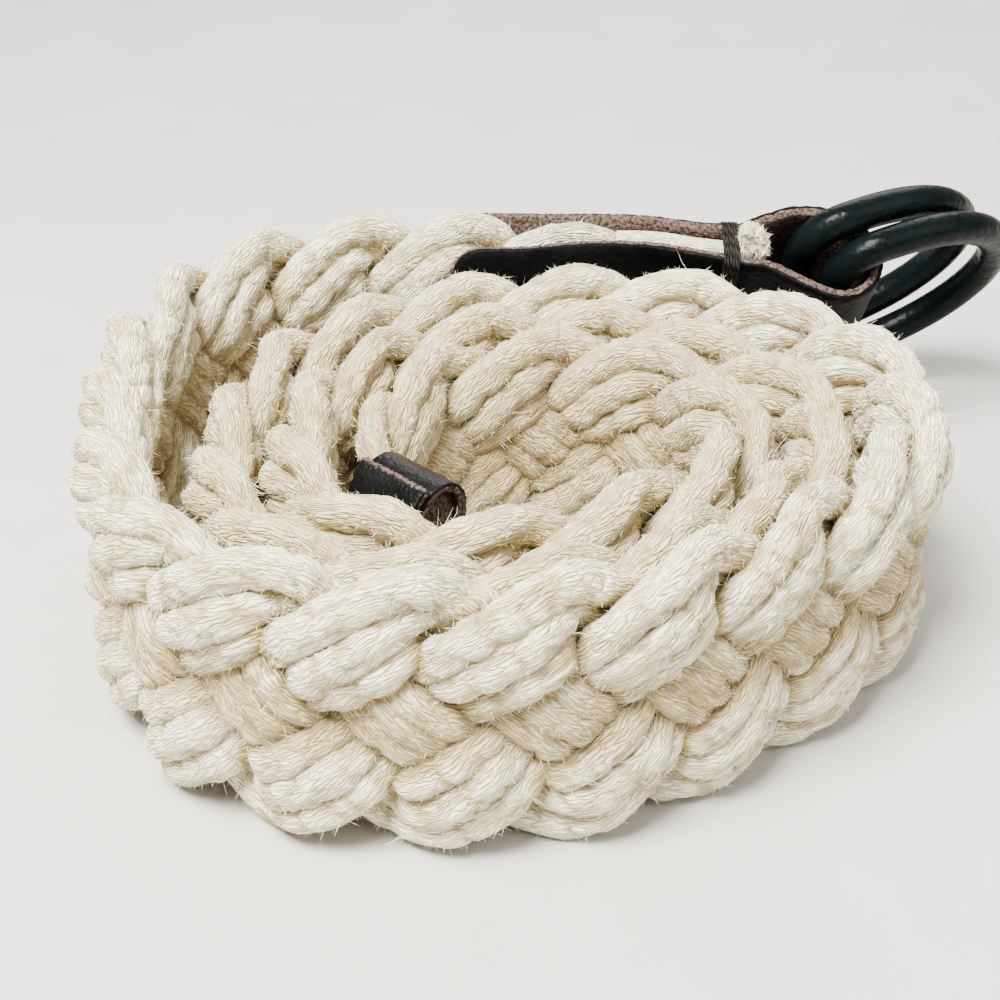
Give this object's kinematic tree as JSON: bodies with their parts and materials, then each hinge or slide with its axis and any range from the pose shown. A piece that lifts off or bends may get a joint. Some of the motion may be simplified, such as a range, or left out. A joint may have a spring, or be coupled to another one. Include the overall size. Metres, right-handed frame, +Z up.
{
  "type": "d-ring belt",
  "caption": "Wide flat-braided cotton rope belt coiled on its edge, with D-rings held in a folded leather tab and a wrapped leather tip.",
  "frame": {"origin": "middle of the whole belt's box on the surface that the coil stands on", "axes": "+Z up, out of the open coil; +X towards the rings, to the viewer's right; +Y away from the viewer"},
  "size_m": [0.1863, 0.1715, 0.0578],
  "materials": {
    "braid": "matte cotton rope",
    "cord_ends": "matte cotton, frayed",
    "tab": "grained, slightly worn",
    "thread": "waxed",
    "rings": "semi-gloss",
    "tip": "satin"
  },
  "bodies": {
    "belt": {"rope_braid": "braid", "cord_ends": "cord_ends", "leather_tab": "tab", "thread_binding": "thread", "leather_tip": "tip"},
    "near_ring": {"ring_near": "rings"},
    "far_ring": {"ring_far": "rings"}
  },
  "joints": [
    {"name": "near_ring_swing", "type": "hinge", "parent": "belt", "child": "near_ring", "pos_m": [0.05205, 0.057, 0.0276], "axis": [0, -0.632, 0.7749], "range_deg": [-28, 0]},
    {"name": "far_ring_swing", "type": "hinge", "parent": "belt", "child": "far_ring", "pos_m": [0.04525, 0.06173, 0.03145], "axis": [0, -0.632, 0.7749], "range_deg": [0, 75]}
  ]
}
